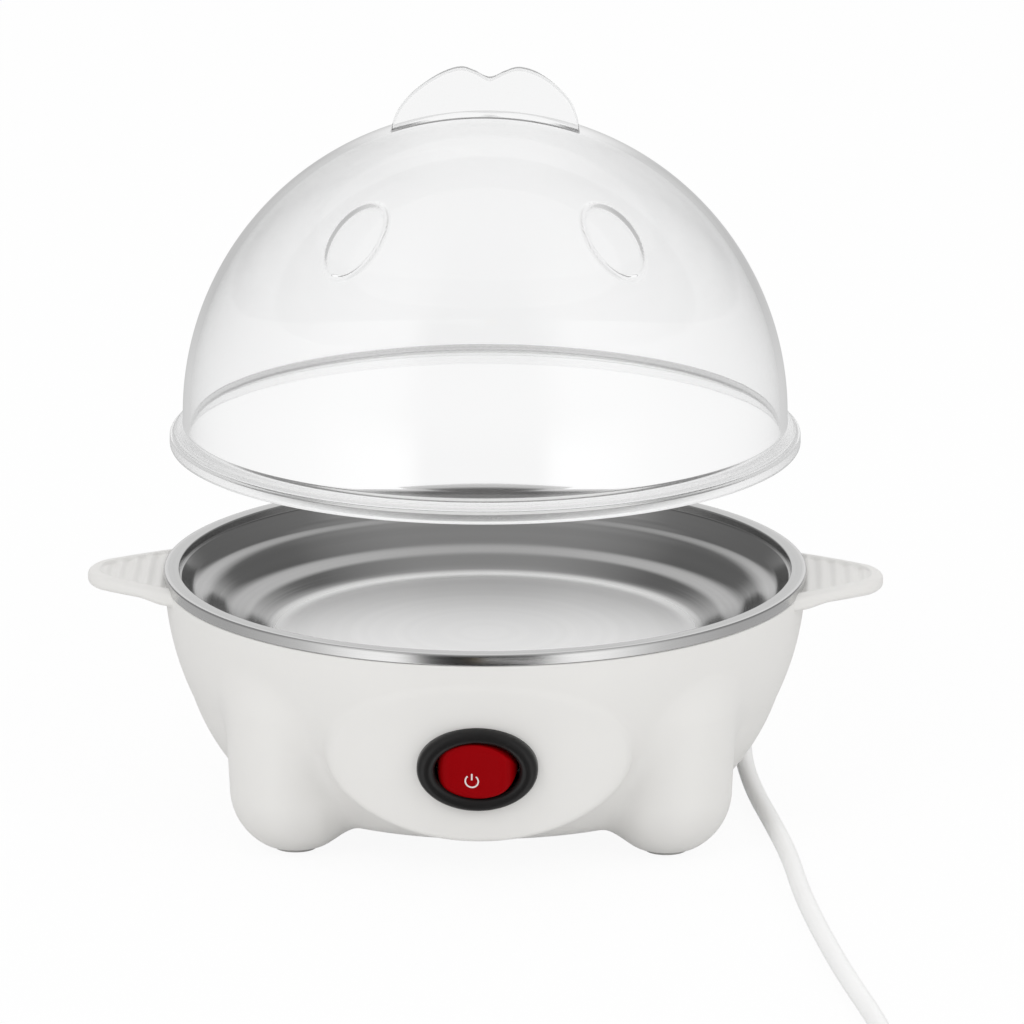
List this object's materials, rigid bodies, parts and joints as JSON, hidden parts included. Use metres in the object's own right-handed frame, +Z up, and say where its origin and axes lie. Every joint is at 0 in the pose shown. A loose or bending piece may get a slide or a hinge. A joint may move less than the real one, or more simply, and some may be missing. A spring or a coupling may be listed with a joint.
{
  "type": "egg cooker",
  "caption": "Round white egg cooker on ball feet with a stepped steel pan, wing handles, an oval red rocker switch, and a clear dome lid with a crest grip and eye rims, held above the rim.",
  "frame": {"origin": "on the table, under the bowl's axis", "axes": "+Z up, the switch faces -Y, the wing handles point along X"},
  "size_m": [0.1772, 0.3775, 0.1655],
  "materials": {
    "white_plastic": "satin moulded white",
    "clear_plastic": "clear moulded",
    "pan_steel": "satin spun steel",
    "rubber_grey": "matt",
    "seal_white": "matt",
    "plate_aluminium": "satin",
    "steel": "plain",
    "brass": "plain",
    "black_plastic": "gloss",
    "red_plastic": "gloss",
    "lamp_glass": "clear",
    "ceramic": "plain",
    "sleeve_fabric": "woven glass",
    "cord_white": "matt",
    "lead_red": "matt",
    "lead_blue": "matt"
  },
  "bodies": {
    "base": {"outer_shell": "white_plastic", "foot_pads": "rubber_grey", "base_cover": "white_plastic", "cover_screws": "steel", "heating_pan": "pan_steel", "rim_seal": "seal_white", "heat_plate": "plate_aluminium", "heating_element": "steel", "element_clamp": "steel", "pan_studs": "steel", "clamp_nuts": "steel", "thermostat_strap": "steel", "thermostat": "ceramic", "thermal_fuse": "steel", "fuse_sleeve": "sleeve_fabric", "fuse_clip": "steel", "switch_housing": "black_plastic", "switch_terminals": "brass", "switch_lamp": "lamp_glass", "cord_gland": "cord_white", "mains_cord": "cord_white", "cord_coil": "cord_white", "cord_tie": "cord_white", "plug_body": "cord_white", "plug_blades": "brass", "fuse_lead": "lead_red", "thermostat_lead": "lead_red", "return_lead": "lead_red", "element_lead": "lead_blue", "switch_lead": "lead_blue"},
    "lid": {"lid_dome": "clear_plastic", "lid_grip": "clear_plastic"},
    "rocker": {"switch_rocker": "red_plastic", "rocker_plunger": "black_plastic"},
    "lever": {"contact_lever": "brass"}
  },
  "joints": [
    {"name": "lid_lift", "type": "slide", "parent": "base", "child": "lid", "axis": [0, 0, 1], "range_m": [-0.028, 0.06]},
    {"name": "rocker_tilt", "type": "hinge", "parent": "base", "child": "rocker", "pos_m": [0, -0.06621, 0.02722], "axis": [0, -0.0872, 0.9962], "range_deg": [0, 16]},
    {"name": "lever_tilt", "type": "hinge", "parent": "base", "child": "lever", "pos_m": [0, -0.05944, 0.02781], "axis": [0, -0.0872, 0.9962], "range_deg": [-12, 0]}
  ],
  "couplings": [
    {"joint": "lever_tilt", "follows": "rocker_tilt", "ratio": -0.75}
  ]
}
